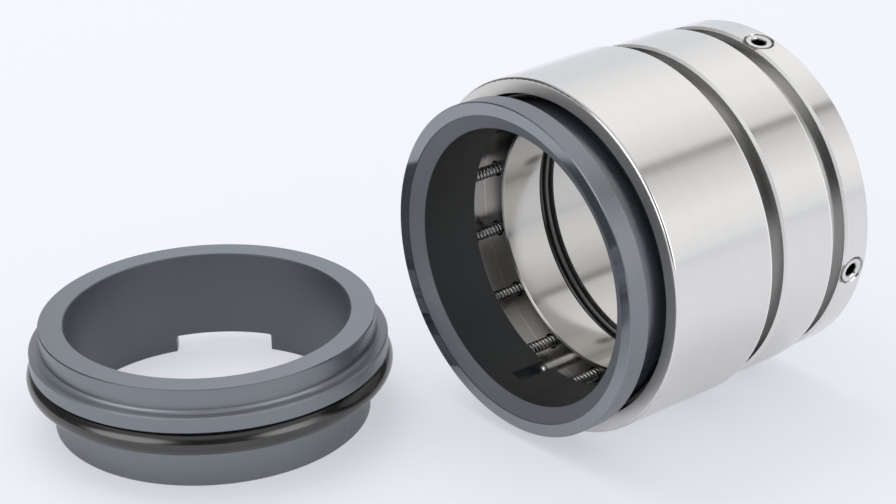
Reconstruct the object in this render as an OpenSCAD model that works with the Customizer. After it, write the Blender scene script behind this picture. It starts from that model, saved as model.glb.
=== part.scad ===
// Mechanical seal for a 65 mm pump shaft, in its two halves.
// The rotating head lies on its casing with its axis level: the shaft runs along X.
// The stationary seat stands beside it on its own foot, with its lapped face up.
// Lengths along the head are measured from the plane of its sealing face.

/* [Shaft and casing] */
// Diameter of the shaft, which is also the bore of the casing
shaft_d = 65; // [50:1:100]
// Wall of the front shell, in which the face ring slides
shell_wall = 3.8; // [3:0.1:6]
// How far the middle band lies below the front band
middle_step = 1; // [0.5:0.1:1.5]
// How far the rear collar lies below the front band
collar_step = 1.7; // [1:0.1:2.2]
// Distance from the sealing face to the rim of the casing, with the springs relaxed
rim_s = 11.5; // [10.5:0.5:12.5]
// Distance from the sealing face to the shoulder that holds the springs
shoulder_s = 26; // [24:0.5:30]
// Distance from the sealing face to the rear end of the casing
back_s = 76; // [76:0.5:84]
// Radius of the rounded outer edge of the rim
rim_round = 0.7; // [0.4:0.1:1.4]

/* [Grooves round the casing] */
// Start of the front groove
groove_1_s = 42; // [40:0.5:43]
// Start of the rear groove
groove_2_s = 63.2; // [62.4:0.2:63.4]
// Width of each groove
groove_w = 4.9; // [4:0.1:5]
// Depth of the grooves below the front band
groove_depth = 4; // [3:0.1:5]
// Chamfer of the groove edges
groove_chamfer = 0.6; // [0.3:0.1:0.8]

/* [Face ring] */
// Gap between the shaft and the bore of the face ring
ring_clearance = 0.9; // [0.8:0.1:1.2]
// Width of the cone between the bore and the sealing face
cone_w = 3.7; // [3:0.1:4.5]
// Depth of that cone
cone_depth = 2.2; // [1:0.1:3]
// Width of the lapped sealing face
face_w = 3.1; // [2:0.1:4]
// Thickness of the flange
flange_t = 5.5; // [4:0.5:6]
// Length of the whole face ring
ring_l = 17.7; // [17:0.1:18]
// Wall of the neck that carries the O-ring
neck_wall = 3.6; // [3.4:0.1:4.6]
// Section of the O-ring on the neck, which fills the space up to the shell
face_ring_section = 2.17; // [2:0.01:2.6]
// Axial thickness of the land behind the O-ring
land_t = 1.4; // [1:0.1:1.8]

/* [Springs and drive pins] */
// Number of springs, which is even so that two pins can face each other between springs
spring_count = 14; // [10:2:18]
// Distance of the spring centres from the bore of the face ring
spring_inset = 2.1; // [2:0.1:2.3]
// Outer diameter of a spring
spring_d = 3.1; // [2.6:0.1:3.2]
// Thickness of the spring wire
wire_d = 0.55; // [0.4:0.05:0.6]
// Depth of the blind holes that hold the springs
spring_hole_l = 8; // [6:0.5:9]
// Angle of the first spring about the shaft, from the far side upwards
first_spring_a = 12.7; // [0:0.1:25]
// Diameter of a drive pin
pin_d = 3; // [2.4:0.1:3.2]
// Distance of the pin centres from the bore of the face ring
pin_inset = 1.3; // [1.2:0.1:1.5]
// How far a pin reaches into its slot with the springs relaxed
pin_reach = 2; // [0.5:0.1:2.5]
// Axial length of the slots that the pins enter
slot_l = 10; // [8:0.5:11]
// Width of those slots
slot_w = 3.6; // [3.5:0.1:4]

/* [Set screws] */
// Number of set screws in the rear collar
screw_count = 4; // [2:1:6]
// Thread diameter
screw_d = 6; // [4:1:6]
// Distance from the sealing face to the plane of the screws
screw_s = 71.5; // [71.5:0.1:72.4]
// Gap between the points of the screws and the shaft
screw_gap = 0.65; // [0.3:0.05:2]
// Width across the flats of the hexagon socket
socket_w = 3; // [2:0.5:3]
// Angle of the first screw about the shaft
first_screw_a = 12.2; // [0:0.1:40]

/* [O-ring in the bore] */
// Distance from the sealing face to the groove of the shaft O-ring
shaft_groove_s = 38; // [36:0.2:39]
// Width of that groove
shaft_groove_w = 4.6; // [4:0.1:5]
// Section of the shaft O-ring
shaft_ring_section = 3.5; // [2.6:0.1:3.6]

/* [Seat] */
// Gap between the shaft and the bore of the seat
seat_clearance = 1.75; // [1:0.05:2.5]
// Width of the lapped nose
nose_w = 6.05; // [5:0.05:7]
// How far the flange stands out from the nose
seat_flange_out = 2.65; // [2:0.05:3.2]
// Wall of the body under the flange
seat_body_wall = 3.8; // [3:0.1:5]
// Height of the whole seat
seat_h = 26; // [24:0.5:30]
// Height of the underside of the flange above the foot
seat_flange_z = 16.1; // [14:0.1:17]
// Thickness of the flange
seat_flange_t = 4; // [3:0.5:6]
// Section of the seat O-ring
seat_ring_section = 5.9; // [5:0.1:6]
// Width of the notch in the foot
notch_w = 24; // [10:1:28]
// Height of the notch
notch_h = 4.3; // [4.2:0.1:6]
// Gap along the shaft between the seat's O-ring and the plane of the sealing face
seat_gap = 0.15; // [0.1:0.05:20]
// Distance from the side of the casing to the axis of the seat
seat_beside = 16.9; // [16:0.1:40]
// Direction in which the notch opens
notch_a = 49.8; // [0:0.1:90]

/* [Hidden] */
// Facets of a full turn, which only set how smooth the preview is
$fn = 96;
edge = 0.4;
fine_edge = 0.25;
rim_inner_edge = 0.15;
eps = 0.05;
ring_play = 0.03;
land_play = 0.35;
shaft_ring_play = 0.05;
bore_r = shaft_d / 2;
ring_bore_r = bore_r + ring_clearance;
face_inner_r = ring_bore_r + cone_w;
face_r = face_inner_r + face_w;
neck_r = ring_bore_r + neck_wall;
shell_r = neck_r + face_ring_section + ring_play;
front_r = shell_r + shell_wall;
middle_r = front_r - middle_step;
collar_r = front_r - collar_step;
groove_floor_r = front_r - groove_depth;
back_chamfer = 0.6;
bore_chamfer = 0.4;
spring_step = 360 / spring_count;
spring_r = ring_bore_r + spring_inset;
spring_l = shoulder_s + spring_hole_l - ring_l;
spring_hole_d = spring_d + 0.8;
coil_pitch = 0.97;
coil_count = round((spring_l - wire_d) / coil_pitch) + 1;
coil_step = (spring_l - wire_d) / (coil_count - 1);
coil_r = (spring_d - wire_d) / 2;
core_t = 0.2;
pin_r = ring_bore_r + pin_inset;
pin_s = ring_l - pin_reach;
pin_hole_l = 6;
pin_l = shoulder_s + pin_hole_l - pin_s;
pin_hole_play = 0.04;
first_pin_a = first_spring_a - 3.5 * spring_step;
slot_floor_r = pin_r + pin_d / 2 + 0.2;
shaft_groove_floor_r = bore_r + shaft_ring_play + shaft_ring_section;
screw_hole_d = screw_d + 0.06;
countersink_d = screw_d + 1.6;
screw_recess = 0.15;
socket_depth = 3;
screw_point = 0.9;
screw_top_r = collar_r - screw_recess;
screw_l = screw_top_r - bore_r - screw_gap;
seat_bore_r = bore_r + seat_clearance;
nose_r = seat_bore_r + nose_w;
seat_flange_r = nose_r + seat_flange_out;
seat_body_r = seat_bore_r + seat_body_wall;
nose_foot_round = 0.8;
notch_round = 0.5;
seat_along = -seat_gap - seat_body_r - seat_ring_section;
seat_across = front_r + seat_beside;
floor_z = -front_r;

function spring_name(i) = str("spring_", i < 10 ? "0" : "", i);

// Puts what is drawn along Z, from the sealing face at 0, on the level shaft axis
module along_shaft() {
    translate([-screw_s, 0, 0])
        rotate([0, 90, 0])
            children();
}

// Turns what is drawn beside the shaft to the angle a, which grows from the far side upwards
module around_shaft(a) {
    rotate([a, 0, 0])
        translate([-screw_s, 0, 0])
            children();
}

// The waste of a rounded outer corner at the origin, for a body below and left of it
module corner_waste(r) {
    difference() {
        translate([-r, -eps])
            square([r + eps, r + eps]);
        translate([-r, r])
            circle(r = r);
    }
}

// A straight round rod along the shaft, from s to s + l
module rod(s, l, d) {
    translate([s, 0, 0])
        rotate([0, 90, 0])
            cylinder(h = l, d = d);
}

// Half section of the casing: radius across, distance from the sealing face upwards
module casing_section() {
    r1 = front_r;
    r2 = middle_r;
    r3 = collar_r;
    rg = groove_floor_r;
    g1 = groove_1_s;
    g2 = groove_2_s;
    h1 = g1 + groove_w;
    h2 = g2 + groove_w;
    c = groove_chamfer;
    polygon([
        [shell_r + rim_inner_edge, rim_s], [r1, rim_s],
        [r1, g1 - c], [r1 - c, g1], [rg, g1], [rg, h1], [r2 - c, h1], [r2, h1 + c],
        [r2, g2 - c], [r2 - c, g2], [rg, g2], [rg, h2], [r3 - c, h2], [r3, h2 + c],
        [r3, back_s - back_chamfer], [r3 - back_chamfer, back_s],
        [bore_r + bore_chamfer, back_s], [bore_r, back_s - bore_chamfer],
        [bore_r, shaft_groove_s + shaft_groove_w],
        [shaft_groove_floor_r, shaft_groove_s + shaft_groove_w],
        [shaft_groove_floor_r, shaft_groove_s], [bore_r, shaft_groove_s],
        [bore_r, shoulder_s + bore_chamfer], [bore_r + bore_chamfer, shoulder_s],
        [shell_r, shoulder_s], [shell_r, rim_s + rim_inner_edge]
    ]);
}

// Turned steel body: a thin shell in front, and a thick rear part that grips the shaft
module casing() {
    color("silver")
        difference() {
            along_shaft()
                rotate_extrude()
                    difference() {
                        casing_section();
                        translate([front_r, rim_s])
                            corner_waste(rim_round);
                    }
            spring_holes();
            pin_holes();
            screw_holes();
        }
}

module spring_holes() {
    for (i = [0:spring_count - 1])
        around_shaft(first_spring_a - i * spring_step)
            translate([0, spring_r, 0])
                rod(shoulder_s - eps, spring_hole_l + eps, spring_hole_d);
}

module pin_holes() {
    for (i = [0:1])
        around_shaft(first_pin_a + 180 * i)
            translate([0, pin_r, 0])
                rod(shoulder_s - eps, pin_hole_l + eps, pin_d + pin_hole_play);
}

// Radial screw holes with a countersunk mouth
module screw_holes() {
    sink = (countersink_d - screw_hole_d) / 2;
    for (i = [0:screw_count - 1])
        around_shaft(first_screw_a + i * 360 / screw_count)
            translate([screw_s, 0, 0])
                rotate([-90, 0, 0]) {
                    translate([0, 0, bore_r - 2])
                        cylinder(h = collar_r - bore_r + 4, d = screw_hole_d);
                    translate([0, 0, collar_r - sink])
                        cylinder(h = 2 * sink, d1 = screw_hole_d, d2 = screw_hole_d + 4 * sink);
                }
}

// Half section of the face ring
module face_ring_section() {
    rf = face_r;
    ri = face_inner_r;
    rb = ring_bore_r;
    rn = neck_r;
    rl = shell_r - land_play;
    polygon([
        [ri, 0], [rf - fine_edge, 0], [rf, fine_edge],
        [rf, flange_t - fine_edge], [rf - fine_edge, flange_t], [rn, flange_t],
        [rn, ring_l - land_t], [rl, ring_l - land_t],
        [rl, ring_l - fine_edge], [rl - fine_edge, ring_l],
        [rb, ring_l], [rb, cone_depth], [ri, fine_edge]
    ]);
}

// Hard ring with the lapped sealing face, an inner cone and two slots for the drive pins
module face_ring() {
    color("slategray")
        difference() {
            along_shaft()
                rotate_extrude()
                    face_ring_section();
            for (i = [0:1])
                around_shaft(first_pin_a + 180 * i)
                    translate([ring_l - slot_l, ring_bore_r - 2, -slot_w / 2])
                        cube([slot_l + 1, slot_floor_r - ring_bore_r + 2, slot_w]);
        }
}

// A rubber ring of round section on the shaft axis, with its centre at s
module o_ring(s, section, centre_r) {
    translate([0, 0, s])
        rotate_extrude()
            translate([centre_r, 0])
                circle(d = section, $fn = 48);
}

// Seals the face ring against the shell and slides with the ring
module face_o_ring() {
    section = face_ring_section;
    color("dimgray")
        along_shaft()
            o_ring(ring_l - land_t - section / 2, section, neck_r + section / 2);
}

// Seals the casing on the shaft, drawn at the size it takes with the shaft in place
module shaft_o_ring() {
    section = shaft_ring_section;
    color("dimgray")
        along_shaft()
            o_ring(shaft_groove_s + shaft_groove_w / 2, section, shaft_groove_floor_r - section / 2);
}

// Pin with a domed front end, held in the shoulder and reaching into a slot of the face ring
module drive_pin(i) {
    dome = 1.2;
    color("gainsboro")
        around_shaft(first_pin_a + 180 * i)
            translate([pin_s, pin_r, 0])
                rotate([0, 90, 0])
                    rotate_extrude($fn = 48)
                        difference() {
                            square([pin_d / 2, pin_l]);
                            translate([pin_d / 2, 0])
                                corner_waste(dome);
                        }
}

module drive_pin_1() {
    drive_pin(0);
}

module drive_pin_2() {
    drive_pin(1);
}

// Half section of a spring: wire rings in a row, joined by a thin core inside them
module spring_section() {
    wire_r = wire_d / 2;
    core_r = coil_r - core_t;
    polygon(concat(
        [for (n = [0:coil_count - 1], a = [-90:45:90])
            [coil_r + wire_r * cos(a), wire_r + n * coil_step + wire_r * sin(a)]],
        [[core_r, spring_l], [core_r, 0]]
    ));
}

// Coil spring, drawn as a row of wire rings on a thin core
module spring(i) {
    color("lightgray")
        around_shaft(first_spring_a - (i - 1) * spring_step)
            translate([ring_l, spring_r, 0])
                rotate([0, 90, 0])
                    rotate_extrude($fn = 36)
                        spring_section();
}

// Screws with a hexagon socket and a chamfered mouth, their points just clear of the shaft
module set_screws() {
    rim = 0.5;
    color("darkgray")
        for (i = [0:screw_count - 1])
            around_shaft(first_screw_a + i * 360 / screw_count)
                translate([screw_s, 0, 0])
                    rotate([-90, 0, 0])
                        difference() {
                            translate([0, 0, screw_top_r - screw_l])
                                screw_blank();
                            translate([0, 0, screw_top_r - socket_depth])
                                cylinder(h = socket_depth + 1, d = socket_w / cos(30), $fn = 6);
                            translate([0, 0, screw_top_r - rim])
                                cylinder(h = 2 * rim, d1 = socket_w, d2 = socket_w + 4 * rim, $fn = 64);
                        }
}

// A screw without its socket, its chamfered point at the origin
module screw_blank() {
    r = screw_d / 2;
    rotate_extrude($fn = 64)
        polygon([[0, 0], [r - screw_point, 0], [r, screw_point], [r, screw_l], [0, screw_l]]);
}

// Puts a shape drawn on the floor at the seat's place beside the head
module at_seat() {
    translate([seat_along - screw_s, seat_across, floor_z])
        children();
}

// Half section of the seat: radius across, height upwards
module seat_section() {
    rb = seat_bore_r;
    ro = seat_body_r;
    rf = seat_flange_r;
    rn = nose_r;
    z1 = seat_flange_z;
    z2 = seat_flange_z + seat_flange_t;
    difference() {
        polygon([
            [rb + fine_edge, 0], [ro - edge, 0], [ro, edge], [ro, z1],
            [rf - edge, z1], [rf, z1 + edge], [rf, z2 - edge], [rf - edge, z2],
            [rn + nose_foot_round, z2], [rn, z2 + nose_foot_round],
            [rn, seat_h - fine_edge], [rn - fine_edge, seat_h],
            [rb + fine_edge, seat_h], [rb, seat_h - fine_edge], [rb, fine_edge]
        ]);
        translate([rn + nose_foot_round, z2 + nose_foot_round])
            circle(r = nose_foot_round, $fn = 48);
    }
}

// Stationary ring with a lapped nose and a notch in its foot for the pin that stops it turning
module seat_ring() {
    color("slategray")
        at_seat()
            difference() {
                rotate_extrude()
                    seat_section();
                rotate([0, 0, notch_a])
                    notch_block(seat_body_r + 2);
            }
}

// Block along X with its two upper edges rounded, as wide and high as the notch
module notch_block(l) {
    round = notch_round;
    rotate([90, 0, 90])
        linear_extrude(height = l) {
            translate([-notch_w / 2, -1])
                square([notch_w, notch_h + 1 - round]);
            translate([-notch_w / 2 + round, 0])
                square([notch_w - 2 * round, notch_h]);
            for (side = [-1, 1])
                translate([side * (notch_w / 2 - round), notch_h - round])
                    circle(r = round, $fn = 32);
        }
}

// Thick rubber ring that seals and holds the seat in its housing, close under the flange
module seat_o_ring() {
    section = seat_ring_section;
    color("dimgray")
        at_seat()
            o_ring(seat_flange_z - section / 2, section, seat_body_r + section / 2);
}

casing();
face_ring();
face_o_ring();
shaft_o_ring();
drive_pin_1();
drive_pin_2();
for (i = [1:spring_count])
    spring(i);
set_screws();
seat_ring();
seat_o_ring();
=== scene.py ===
import math

import bpy
import bmesh
from mathutils import Matrix, Vector


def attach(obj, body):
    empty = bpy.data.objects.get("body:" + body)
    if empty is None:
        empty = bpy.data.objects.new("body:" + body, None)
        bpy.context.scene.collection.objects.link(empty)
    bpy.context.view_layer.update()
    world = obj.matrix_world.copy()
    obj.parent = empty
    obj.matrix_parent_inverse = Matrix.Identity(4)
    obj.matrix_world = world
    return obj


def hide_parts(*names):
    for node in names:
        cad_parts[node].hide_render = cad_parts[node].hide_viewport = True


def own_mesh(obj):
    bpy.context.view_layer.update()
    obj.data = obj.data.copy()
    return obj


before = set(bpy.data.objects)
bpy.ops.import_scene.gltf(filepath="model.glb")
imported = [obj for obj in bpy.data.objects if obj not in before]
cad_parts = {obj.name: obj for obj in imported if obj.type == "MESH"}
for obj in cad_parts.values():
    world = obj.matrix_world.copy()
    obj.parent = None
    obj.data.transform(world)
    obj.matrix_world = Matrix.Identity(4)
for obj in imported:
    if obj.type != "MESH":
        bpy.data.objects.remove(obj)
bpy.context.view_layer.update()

MM = 0.001

# Sizes that the scene shares with the part's source, in millimetres in the frame of the model.
# X runs along the shaft from the sealing face to the collar, with the set screws at zero.
FLOOR_Z = -43.0

# Casing
FRONT_R = 43.0
COLLAR_R = 41.3
SHELL_R = 39.2
BORE_R = 32.5
BORE_CHAMFER = 0.4
RIM_X = -60.0
SHOULDER_X = -45.5
GROOVE_STARTS = (-29.5, -8.3)
GROOVE_W = 4.9
GROOVE_FLOOR_R = 39.0
GROOVE_CHAMFER = 0.6
RING_GROOVE_X = -33.5
RING_GROOVE_W = 4.6
RING_GROOVE_FLOOR_R = 36.05

# Set screws: the angle of the first, their number, and the radius of the thread and of the socket
FIRST_SCREW = 12.2
SCREW_COUNT = 4
SCREW_R = 3.0
SOCKET_R = 1.75

# Springs: the angle of the first, and the wire's coil between its two seats
SPRING_COUNT = 14
FIRST_SPRING = 12.7
SPRING_RING_R = 35.5
SPRING_START = -53.8
SPRING_END = -37.5
WIRE_R = 0.275
COIL_R = 1.275
COILS = 17

# Face ring: its sealing face, its bore, and the cone between the two
FACE_X = -71.5
FACE_BORE_R = 33.4
FACE_INNER_R = 37.1
CONE_DEPTH = 2.2

# Seat: its axis, its sealing face, its bore and nose, and the top of its flange
SEAT_X = -115.6
SEAT_Y = 59.9
SEAT_TOP = -17.0
SEAT_BORE_R = 34.25
NOSE_R = 40.3
NOSE_FOOT_ROUND = 0.8
FLANGE_TOP = -22.9
FLANGE_EDGE = 0.4

# Margins by which a mask reaches over the surface that it colours
NEAR = 0.1
CLOSE = 0.05
LAPPED = 0.06


# Node helpers
class Nodes:
    """Short calls for a material's or a world's node tree."""

    def __init__(self, tree):
        self.tree = tree
        tree.nodes.clear()

    def add(self, kind, **settings):
        node = self.tree.nodes.new(kind)
        for key, value in settings.items():
            setattr(node, key, value)
        return node

    def put(self, value, socket):
        if isinstance(value, bpy.types.NodeSocket):
            self.tree.links.new(value, socket)
        else:
            socket.default_value = value

    def math(self, operation, a, b=0.0, c=0.0):
        node = self.add("ShaderNodeMath", operation=operation)
        for value, socket in zip((a, b, c), node.inputs):
            self.put(value, socket)
        return node.outputs[0]

    def times(self, first, *others):
        for other in others:
            first = self.math("MULTIPLY", first, other)
        return first

    def plus(self, first, *others):
        for other in others:
            first = self.math("ADD", first, other)
        return first

    def highest(self, first, *others):
        for other in others:
            first = self.math("MAXIMUM", first, other)
        return first

    def inverse(self, value):
        return self.math("SUBTRACT", 1.0, value)

    def length(self, a, b):
        return self.math("SQRT", self.plus(self.times(a, a), self.times(b, b)))

    def above(self, value, low):
        """One where the value is over a size in millimetres, else zero."""
        return self.math("GREATER_THAN", value, low * MM)

    def below(self, value, high):
        return self.math("LESS_THAN", value, high * MM)

    def between(self, value, low, high):
        return self.times(self.above(value, low), self.below(value, high))

    def smooth(self, value, low, high, out_low=0.0, out_high=1.0):
        node = self.add("ShaderNodeMapRange", interpolation_type="SMOOTHSTEP")
        self.put(value, node.inputs["Value"])
        node.inputs["From Min"].default_value = low
        node.inputs["From Max"].default_value = high
        node.inputs["To Min"].default_value = out_low
        node.inputs["To Max"].default_value = out_high
        return node.outputs["Result"]

    def combine(self, x, y, z):
        node = self.add("ShaderNodeCombineXYZ")
        for value, socket in zip((x, y, z), node.inputs):
            self.put(value, socket)
        return node.outputs[0]

    def separate(self, vector):
        node = self.add("ShaderNodeSeparateXYZ")
        self.put(vector, node.inputs[0])
        return node.outputs

    def noise(self, vector, scale, detail=2.0, roughness=0.5):
        node = self.add("ShaderNodeTexNoise")
        self.put(vector, node.inputs["Vector"])
        node.inputs["Scale"].default_value = scale
        node.inputs["Detail"].default_value = detail
        node.inputs["Roughness"].default_value = roughness
        return node.outputs["Fac"]

    def mix(self, factor, a, b):
        """Mix of two colours."""
        node = self.add("ShaderNodeMix", data_type="RGBA")
        self.put(factor, node.inputs[0])
        for value, socket in ((a, node.inputs[6]), (b, node.inputs[7])):
            self.put(value if isinstance(value, bpy.types.NodeSocket) else (*value, 1.0), socket)
        return node.outputs[2]

    def mix_value(self, factor, a, b):
        """Mix of two plain values."""
        node = self.add("ShaderNodeMix", data_type="FLOAT")
        for value, socket in ((factor, node.inputs[0]), (a, node.inputs[2]), (b, node.inputs[3])):
            self.put(value, socket)
        return node.outputs[0]

    def bump(self, height, distance, strength):
        node = self.add("ShaderNodeBump")
        self.put(height, node.inputs["Height"])
        node.inputs["Distance"].default_value = distance
        node.inputs["Strength"].default_value = strength
        return node.outputs[0]


def start_material(name):
    material = bpy.data.materials.new(name)
    material.use_nodes = True
    n = Nodes(material.node_tree)
    shader = n.add("ShaderNodeBsdfPrincipled")
    output = n.add("ShaderNodeOutputMaterial")
    n.put(shader.outputs[0], output.inputs[0])
    return material, n, shader


class Turned:
    """A place on a turned piece: along its axis, out from it and round it. Lengths are in metres."""

    def __init__(self, n, axis):
        self.position = n.add("ShaderNodeTexCoord").outputs["Object"]
        x, y, z = n.separate(self.position)
        if axis == "X":
            self.along, self.a, self.b = x, y, z
        else:
            self.along = z
            self.a = n.math("SUBTRACT", x, SEAT_X * MM)
            self.b = n.math("SUBTRACT", y, SEAT_Y * MM)
        self.radius = n.length(self.a, self.b)
        self.angle = n.math("ARCTAN2", self.b, self.a)


def tool_marks(n, place, pitch, stretch):
    """Noise drawn out round the axis, as a tool or a belt leaves it: fine across, long around."""
    per_metre = 1.0 / (pitch * MM)
    across = n.combine(n.times(place.along, per_metre), n.times(place.radius, per_metre), 0.0)
    around = n.combine(n.times(place.a, stretch), n.times(place.b, stretch), 0.0)
    total = n.add("ShaderNodeVectorMath", operation="ADD")
    n.put(across, total.inputs[0])
    n.put(around, total.inputs[1])
    return total.outputs[0]


def distance_from_screw(n, place):
    """Distance from the centre line of the nearest set screw. The screws stand on lines out of the axis."""
    half_step = math.pi / SCREW_COUNT
    turn = n.math("WRAP", n.math("SUBTRACT", place.angle, math.radians(FIRST_SCREW)), half_step, -half_step)
    sideways = n.times(n.math("SINE", turn), place.radius)
    return n.length(place.along, sideways)


# Materials
def make_steel():
    """Turned stainless steel of the casing, with painted shade where little light gets in and a painted
    highlight on the groove lips.
    """
    material, n, shader = start_material("turned_steel")
    place = Turned(n, "X")
    along, radius = place.along, place.radius
    fine = n.noise(tool_marks(n, place, 0.13, 14.0), 1.0, 2.0, 0.55)
    broad = n.noise(tool_marks(n, place, 1.9, 9.0), 1.0, 2.0, 0.5)
    cloud = n.noise(place.position, 38.0, 2.0, 0.5)

    # Masks
    mouth_r = BORE_R + BORE_CHAMFER + NEAR
    screw_hole_r = SCREW_R + 0.9
    screw_hole_start = 34.0
    lip_w = 0.35
    rim_depth = 0.07
    groove_edge = 0.02
    chamber = n.times(n.between(along, RIM_X + NEAR, SHOULDER_X + NEAR), n.below(radius, SHELL_R + CLOSE))
    holes = n.times(n.between(along, SHOULDER_X + CLOSE, SPRING_END + NEAR),
                    n.between(radius, BORE_R + NEAR, SHELL_R - NEAR))
    bore = n.times(n.below(radius, BORE_R + NEAR), n.above(along, SHOULDER_X - NEAR))
    mouth = n.times(n.between(along, SHOULDER_X - NEAR, SHOULDER_X + BORE_CHAMFER + NEAR),
                    n.between(radius, BORE_R + CLOSE, mouth_r))
    shoulder = n.times(n.between(along, SHOULDER_X - NEAR, SHOULDER_X + CLOSE),
                       n.between(radius, mouth_r, SHELL_R - NEAR))
    ring_groove = n.times(n.between(along, RING_GROOVE_X - NEAR, RING_GROOVE_X + RING_GROOVE_W + NEAR),
                          n.between(radius, BORE_R + NEAR, RING_GROOVE_FLOOR_R + NEAR))
    rim = n.times(n.below(along, RIM_X + rim_depth), n.above(radius, SHELL_R))
    screw_holes = n.times(n.below(distance_from_screw(n, place), screw_hole_r),
                          n.between(radius, screw_hole_start, COLLAR_R - NEAR),
                          n.above(along, GROOVE_STARTS[1] + GROOVE_W + CLOSE))
    grooves = 0.0
    lips = 0.0
    for start in GROOVE_STARTS:
        end = start + GROOVE_W
        grooves = n.highest(grooves, n.between(along, start - groove_edge, end + groove_edge))
        lips = n.highest(lips, n.between(along, start - GROOVE_CHAMFER - lip_w, start),
                         n.between(along, end, end + GROOVE_CHAMFER + CLOSE))
    grooves = n.times(grooves, n.between(radius, GROOVE_FLOOR_R - NEAR, FRONT_R - GROOVE_CHAMFER))
    lips = n.times(lips, n.above(radius, COLLAR_R - GROOVE_CHAMFER - NEAR), n.inverse(screw_holes))

    # Colours: the steel's own tones, then painted shade and painted highlights in the zones below
    tone = n.smooth(n.plus(n.times(fine, 0.6), n.times(broad, 0.4)), 0.3, 0.7)
    colour = n.mix(tone, (0.783, 0.768, 0.751), (0.811, 0.796, 0.779))
    # Painted shade in the spring chamber: the steel darkens toward the top of the chamber, where little light
    # gets in.
    chamber_shade = n.mix(n.smooth(place.b, 6 * MM, 26 * MM), (0.74, 0.72, 0.69), (0.16, 0.155, 0.15))
    # Painted shade in the two outer grooves.
    for mask, mask_colour in ((grooves, (0.52, 0.512, 0.502)),
                              (chamber, chamber_shade),
                              # Painted shade in the spring holes.
                              (holes, (0.12, 0.115, 0.11)),
                              # Painted shade in the bore, darker than the outside of the casing.
                              (bore, (0.58, 0.565, 0.54)),
                              # Painted shade on the chamfer at the bore's mouth.
                              (mouth, (0.24, 0.235, 0.225)),
                              # Painted shade on the shoulder inside the chamber.
                              (shoulder, (0.44, 0.425, 0.405)),
                              # Painted shade in the countersinks of the screw holes.
                              (screw_holes, (0.40, 0.39, 0.38)),
                              # Painted highlight: a light line on the lips at the groove edges.
                              (lips, (0.93, 0.92, 0.905))):
        colour = n.mix(mask, colour, mask_colour)
    n.put(colour, shader.inputs["Base Color"])

    # Roughness, and marks that run round the axis
    rough = n.plus(n.smooth(fine, 0.3, 0.7, 0.105, 0.135), n.smooth(cloud, 0.3, 0.7, -0.02, 0.02))
    for mask, rise in ((n.highest(grooves, chamber), 0.10), (n.highest(rim, lips), 0.38), (ring_groove, 0.5)):
        rough = n.plus(rough, n.times(mask, rise))
    n.put(rough, shader.inputs["Roughness"])
    shader.inputs["Metallic"].default_value = 1.0
    shader.inputs["Anisotropic"].default_value = 0.45
    tangent = n.add("ShaderNodeTangent", direction_type="RADIAL", axis="X")
    n.put(tangent.outputs[0], shader.inputs["Tangent"])
    n.put(n.bump(fine, 0.000004, 0.14), shader.inputs["Normal"])
    return material


def head_zones(n, place):
    """Masks of the face ring: its lapped face, its rougher part, and zones of another shine, with painted
    light on the cone and painted shade on its inner edge and in its bore.
    """
    lapped = n.below(place.along, FACE_X + LAPPED)
    bore = n.below(place.radius, FACE_BORE_R + NEAR)
    cone = n.times(n.inverse(n.highest(bore, lapped)), n.below(place.radius, FACE_INNER_R + NEAR),
                   n.below(place.along, FACE_X + CONE_DEPTH + NEAR))
    inner_edge_shade = n.times(cone, n.above(place.radius, FACE_INNER_R - CLOSE))
    # Painted light on the cone: a lighter colour and less shine that stand in for the even light on it.
    zones = [(cone, (0.120, 0.131, 0.144), 0.20),
             # Painted shade on the small step at the inner edge of the lapped face.
             (inner_edge_shade, (0.045, 0.050, 0.058), None),
             # Painted shade in the bore: darker and less shiny.
             (bore, (0.0190, 0.0195, 0.0200), 0.13)]
    return lapped, n.highest(bore, cone), zones


def seat_zones(n, place):
    """Masks of the seat: its lapped face, its rougher part, a painted highlight on the top of its flange, and
    its less shiny bore.
    """
    bevel = 0.25
    lapped = n.above(place.along, SEAT_TOP - LAPPED)
    bore = n.below(place.radius, SEAT_BORE_R + bevel)
    step = n.between(place.along, FLANGE_TOP - FLANGE_EDGE, FLANGE_TOP + NOSE_FOOT_ROUND + NEAR)
    flange_top = n.times(step, n.above(place.radius, NOSE_R - NEAR))
    # Painted highlight on the top of the flange and its edges, lighter than the ceramic.
    zones = [(flange_top, (0.130, 0.142, 0.160), None),
             (bore, None, 0.40)]
    return lapped, n.highest(bore, flange_top), zones


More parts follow.
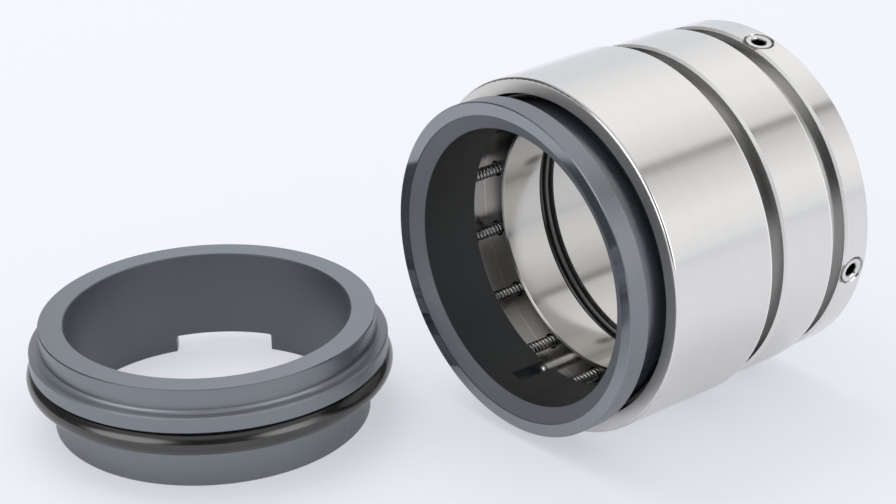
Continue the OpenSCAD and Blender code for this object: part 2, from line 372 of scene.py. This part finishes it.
def make_carbide(name, axis, find_zones):
    """Silicon carbide: ground all over, and lapped to a mirror on its sealing face."""
    material, n, shader = start_material(name)
    place = Turned(n, axis)
    lapped, rougher, zones = find_zones(n, place)
    marks = n.noise(tool_marks(n, place, 0.3, 25.0), 1.0, 2.0, 0.5)
    grain = n.noise(place.position, 5200.0, 2.0, 0.6)
    cloud = n.noise(place.position, 60.0, 3.0, 0.55)
    tone = n.plus(n.times(grain, 0.5), n.times(marks, 0.3), n.times(cloud, 0.2))
    colour = n.mix(n.smooth(tone, 0.35, 0.65), (0.030, 0.035, 0.044), (0.044, 0.051, 0.063))
    level = n.mix_value(lapped, 0.60, 0.78)
    # The zones repaint the colour with painted light or painted shade, and change the shine.
    for mask, zone_colour, zone_level in zones:
        if zone_colour is not None:
            colour = n.mix(mask, colour, zone_colour)
        if zone_level is not None:
            level = n.mix_value(mask, level, zone_level)
    n.put(level, shader.inputs["Specular IOR Level"])
    n.put(colour, shader.inputs["Base Color"])
    ground = n.plus(n.smooth(marks, 0.3, 0.7, 0.28, 0.31), n.smooth(cloud, 0.3, 0.7, -0.03, 0.03),
                    n.times(rougher, 0.14))
    mirror = n.smooth(cloud, 0.3, 0.7, 0.05, 0.09)
    n.put(n.mix_value(lapped, ground, mirror), shader.inputs["Roughness"])
    shader.inputs["IOR"].default_value = 2.65
    shader.inputs["Specular Tint"].default_value = (0.865, 0.91, 0.95, 1.0)
    rise = n.times(n.plus(n.times(marks, 0.4), n.times(grain, 0.3)), n.inverse(lapped))
    n.put(n.bump(rise, 0.000004, 0.2), shader.inputs["Normal"])
    return material


def make_rubber():
    """Black rubber of the O-rings, a little shiny, with a faint bloom."""
    material, n, shader = start_material("black_rubber")
    position = n.add("ShaderNodeTexCoord").outputs["Object"]
    grain = n.noise(position, 3800.0, 3.0, 0.6)
    bloom = n.noise(position, 110.0, 3.0, 0.6)
    colour = n.mix(n.smooth(bloom, 0.4, 0.75), (0.005, 0.005, 0.0055), (0.013, 0.0122, 0.0115))
    n.put(colour, shader.inputs["Base Color"])
    n.put(n.smooth(bloom, 0.3, 0.7, 0.15, 0.22), shader.inputs["Roughness"])
    shader.inputs["IOR"].default_value = 1.82
    shader.inputs["Specular Tint"].default_value = (1.0, 0.985, 0.955, 1.0)
    n.put(n.bump(grain, 0.00002, 0.35), shader.inputs["Normal"])
    return material


def make_bright_metal(name, tones, roughness, scale, find_shade):
    """Drawn or machined steel of a small piece, between two tones, with zones of painted shade."""
    material, n, shader = start_material(name)
    place = Turned(n, "X")
    grain = n.noise(place.position, scale, 2.0, 0.55)
    colour = n.mix(n.smooth(grain, 0.3, 0.7), *tones)
    for mask, shade in find_shade(n, place):
        colour = n.mix(mask, colour, shade)
    n.put(colour, shader.inputs["Base Color"])
    n.put(n.smooth(grain, 0.3, 0.7, *roughness), shader.inputs["Roughness"])
    shader.inputs["Metallic"].default_value = 1.0
    n.put(n.bump(grain, 0.000008, 0.3), shader.inputs["Normal"])
    return material


def high_shade(height):
    """Shade on the wire and pins that stand higher than this, in the dark top of the spring chamber."""
    return lambda n, place: [(n.above(place.b, height), (0.03, 0.03, 0.03))]


def screw_shade(n, place):
    """Shade on the flank of the screws, below their bevelled edge, and in their sockets."""
    bevel_r = 40.62
    return [(n.below(place.radius, bevel_r), (0.30, 0.295, 0.29)),
            (n.below(distance_from_screw(n, place), SOCKET_R), (0.06, 0.058, 0.055))]


def set_material(names, material):
    for name in names:
        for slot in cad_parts[name].material_slots:
            slot.material = material


set_material(["casing"], make_steel())
set_material(["face_ring"], make_carbide("lapped_carbide_head", "X", head_zones))
set_material(["seat_ring"], make_carbide("lapped_carbide_seat", "Z", seat_zones))
set_material(["face_o_ring", "shaft_o_ring", "seat_o_ring"], make_rubber())
set_material(["drive_pin_1", "drive_pin_2"], make_bright_metal(
    "pin_metal", tones=((0.48, 0.47, 0.455), (0.58, 0.57, 0.55)), roughness=(0.30, 0.40), scale=1800.0,
    find_shade=high_shade(20.0)))
set_material(["set_screws"], make_bright_metal(
    "screw_metal", tones=((0.70, 0.69, 0.675), (0.80, 0.79, 0.775)), roughness=(0.16, 0.26), scale=1500.0,
    find_shade=screw_shade))
spring_wire = make_bright_metal(
    "spring_wire", tones=((0.48, 0.47, 0.455), (0.62, 0.61, 0.59)), roughness=(0.18, 0.28), scale=2600.0,
    find_shade=high_shade(20.3))


# Coil springs, wound from round wire with closed ends
def coil_path(phase):
    """Centre line of the wire: one closed turn at each end, and even turns between them."""
    steps = 26
    length = SPRING_END - SPRING_START - 2 * WIRE_R
    closed = 2 * WIRE_R * 1.02
    pitch = (length - 2 * closed) / (COILS - 3)
    points = []
    for i in range((COILS - 1) * steps + 1):
        turn = i / steps
        if turn < 1:
            rise = closed * turn
        elif turn > COILS - 2:
            rise = length - closed * (COILS - 1 - turn)
        else:
            rise = closed + pitch * (turn - 1)
        angle = phase + 2 * math.pi * turn
        along = SPRING_START + WIRE_R + rise
        points.append(Vector((along, COIL_R * math.cos(angle), COIL_R * math.sin(angle))))
    return points


def wire_mesh(name, points, radius, sides=8):
    """A closed tube of round section along the points, which are in millimetres."""
    bm = bmesh.new()
    rings = []
    for i, point in enumerate(points):
        tangent = (points[min(i + 1, len(points) - 1)] - points[max(i - 1, 0)]).normalized()
        out = Vector((0.0, point.y, point.z)).normalized()
        side = tangent.cross(out).normalized()
        out = side.cross(tangent)
        ring = []
        for k in range(sides):
            turn = 2 * math.pi * k / sides
            offset = radius * (math.cos(turn) * out + math.sin(turn) * side)
            ring.append(bm.verts.new((point + offset) * MM))
        rings.append(ring)
    for one, two in zip(rings, rings[1:]):
        for k in range(sides):
            bm.faces.new((one[k], one[(k + 1) % sides], two[(k + 1) % sides], two[k]))
    for ring in (rings[0], rings[-1]):
        bm.faces.new(ring)
    bmesh.ops.recalc_face_normals(bm, faces=bm.faces)
    for face in bm.faces:
        face.smooth = len(face.verts) == 4
    mesh = bpy.data.meshes.new(name)
    bm.to_mesh(mesh)
    bm.free()
    return mesh


def add_coil(i):
    """The wound spring in place of one CAD spring."""
    name = f"coil_{i + 1:02d}"
    phase = i * 2.4
    around = math.radians(FIRST_SPRING - i * 360 / SPRING_COUNT)
    centre = Vector((0.0, math.cos(around), math.sin(around))) * SPRING_RING_R * MM
    mesh = wire_mesh(name, coil_path(phase), WIRE_R)
    mesh.transform(Matrix.Translation(centre))
    mesh.materials.append(spring_wire)
    coil = bpy.data.objects.new(name, mesh)
    bpy.context.scene.collection.objects.link(coil)
    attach(coil, "casing_and_seat")
    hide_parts(f"spring_{i + 1:02d}")
    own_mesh(coil)


for i in range(SPRING_COUNT):
    add_coil(i)


# Floor
def floor_material():
    """Matt paper that glows a little, so that the background is pale and the shadows stay."""
    glow_share = 0.32
    camera_share = 0.18
    material = bpy.data.materials.new("floor_paper")
    material.use_nodes = True
    n = Nodes(material.node_tree)
    diffuse = n.add("ShaderNodeBsdfDiffuse")
    diffuse.inputs["Color"].default_value = (0.885, 0.90, 0.945, 1.0)
    glow = n.add("ShaderNodeEmission")
    glow.inputs["Color"].default_value = (0.95, 0.965, 1.01, 1.0)
    glow.inputs["Strength"].default_value = 1.0
    path = n.add("ShaderNodeLightPath").outputs
    seen = n.highest(path["Is Camera Ray"], path["Is Glossy Ray"], path["Is Transmission Ray"])
    both = n.add("ShaderNodeMixShader")
    n.put(n.plus(n.times(seen, glow_share), n.times(path["Is Camera Ray"], camera_share)), both.inputs[0])
    n.put(diffuse.outputs[0], both.inputs[1])
    n.put(glow.outputs[0], both.inputs[2])
    output = n.add("ShaderNodeOutputMaterial")
    n.put(both.outputs[0], output.inputs[0])
    return material


def make_floor():
    bm = bmesh.new()
    half = 6.0
    sides = ((-half, -half), (half, -half), (half, half), (-half, half))
    bm.faces.new([bm.verts.new((x, y, FLOOR_Z * MM)) for x, y in sides])
    mesh = bpy.data.meshes.new("floor")
    bm.to_mesh(mesh)
    bm.free()
    mesh.materials.append(floor_material())
    floor = bpy.data.objects.new("floor", mesh)
    bpy.context.scene.collection.objects.link(floor)


# Level of the pale surround of the casing, by the turn round its axis: 0 is the far horizon, 0.5 is
# straight up and 1 is the near horizon. The gap near 0.66 draws the dark streak along the casing.
SURROUND = ((0.0, 0.80), (0.17, 0.82), (0.30, 0.95), (0.39, 1.03), (0.50, 1.01), (0.59, 0.88), (0.640, 0.82),
            (0.664, 0.28), (0.70, 0.66), (0.76, 0.80), (0.86, 0.98), (0.93, 0.95), (1.0, 0.875))
FAR_COOL = 0.045
NEAR_COOL = 0.035


def surround_colour(n, x, y, z):
    """Colour of the surround in a direction, cooler close to both horizons."""
    ramp = n.add("ShaderNodeValToRGB")
    n.put(n.math("DIVIDE", n.math("ARCTAN2", z, y), math.pi), ramp.inputs[0])
    elements = ramp.color_ramp.elements
    while len(elements) < len(SURROUND):
        elements.new(0.5)
    for element, (turn, level) in zip(elements, SURROUND):
        cool = FAR_COOL if turn < 0.2 else NEAR_COOL if turn > 0.97 else 0.0
        element.position = turn
        element.color = (level * (1.0 - cool), level, level * (1.005 + cool), 1.0)
    return ramp.outputs[0]


def room_colour(n, direction, z):
    """Colour of the dark room that the ceramic and the rubber mirror, with its two bright panels."""
    def toward(x, y, z, low, high):
        node = n.add("ShaderNodeVectorMath", operation="DOT_PRODUCT")
        n.put(direction, node.inputs[0])
        node.inputs[1].default_value = Vector((x, y, z)).normalized()
        return n.smooth(node.outputs["Value"], low, high)

    colour = n.mix(toward(0.551, 0.834, 0.0, 0.70, 0.90), (0.12, 0.12, 0.12), (0.55, 0.55, 0.56))
    colour = n.mix(n.smooth(z, 0.60, 0.86), colour, (0.62, 0.62, 0.63))
    panels = n.highest(toward(-0.939, -0.025, 0.342, 0.86, 0.955), toward(0.302, -0.901, 0.309, 0.86, 0.955))
    return n.mix(panels, colour, (2.5, 2.5, 2.5))


def make_world():
    """A studio: the pale surround for directions along the casing, and the dark room for the others."""
    world = bpy.data.worlds.new("studio")
    bpy.context.scene.world = world
    world.use_nodes = True
    n = Nodes(world.node_tree)
    direction = n.add("ShaderNodeTexCoord").outputs["Generated"]
    x, y, z = n.separate(direction)
    lengthwise = n.times(n.smooth(x, 0.36, 0.50), n.smooth(x, 0.80, 0.93, 1.0, 0.25))
    mirrored = n.mix(lengthwise, room_colour(n, direction, z), surround_colour(n, x, y, z))
    path = n.add("ShaderNodeLightPath").outputs
    in_mirror = n.highest(path["Is Glossy Ray"], path["Is Transmission Ray"])
    colour = n.mix(in_mirror, (0.76, 0.77, 0.79), mirrored)
    colour = n.mix(path["Is Camera Ray"], colour, (0.90, 0.915, 0.985))
    background = n.add("ShaderNodeBackground")
    n.put(colour, background.inputs["Color"])
    background.inputs["Strength"].default_value = 1.0
    output = n.add("ShaderNodeOutputWorld")
    n.put(background.outputs[0], output.inputs[0])


def add_softbox(name, place, target, size, power):
    """A soft area light in metres and watts that no shiny piece mirrors."""
    light = bpy.data.lights.new(name, "AREA")
    light.shape = "RECTANGLE"
    light.size, light.size_y = size
    light.energy = power
    lamp = bpy.data.objects.new(name, light)
    bpy.context.scene.collection.objects.link(lamp)
    toward = Vector(target) - Vector(place)
    lamp.rotation_euler = toward.to_track_quat("-Z", "Y").to_euler()
    lamp.location = place
    lamp.visible_glossy = False


def make_camera():
    """A pinhole camera, fitted to the turned edges in the photograph."""
    place = Vector((-428.41, -414.42, 251.66)) * MM
    right = Vector((0.7664, -0.6418, -0.0267)).normalized()
    forward = Vector((0.5769, 0.7060, -0.4107))
    data = bpy.data.cameras.new("camera")
    data.sensor_fit = "HORIZONTAL"
    data.sensor_width = 36.0
    data.lens = 105.35
    data.clip_start = 0.01
    data.clip_end = 30.0
    camera = bpy.data.objects.new("camera", data)
    bpy.context.scene.collection.objects.link(camera)
    forward = (forward - right * forward.dot(right)).normalized()
    matrix = Matrix((right, right.cross(forward), -forward)).transposed().to_4x4()
    matrix.translation = place
    camera.matrix_world = matrix
    bpy.context.scene.camera = camera


make_floor()
make_world()
add_softbox("overhead", place=(-0.05, 0.50, 0.95), target=(-0.05, 0.02, 0.0), size=(0.9, 0.7), power=3.0)
make_camera()
bpy.context.scene.view_settings.view_transform = "Standard"
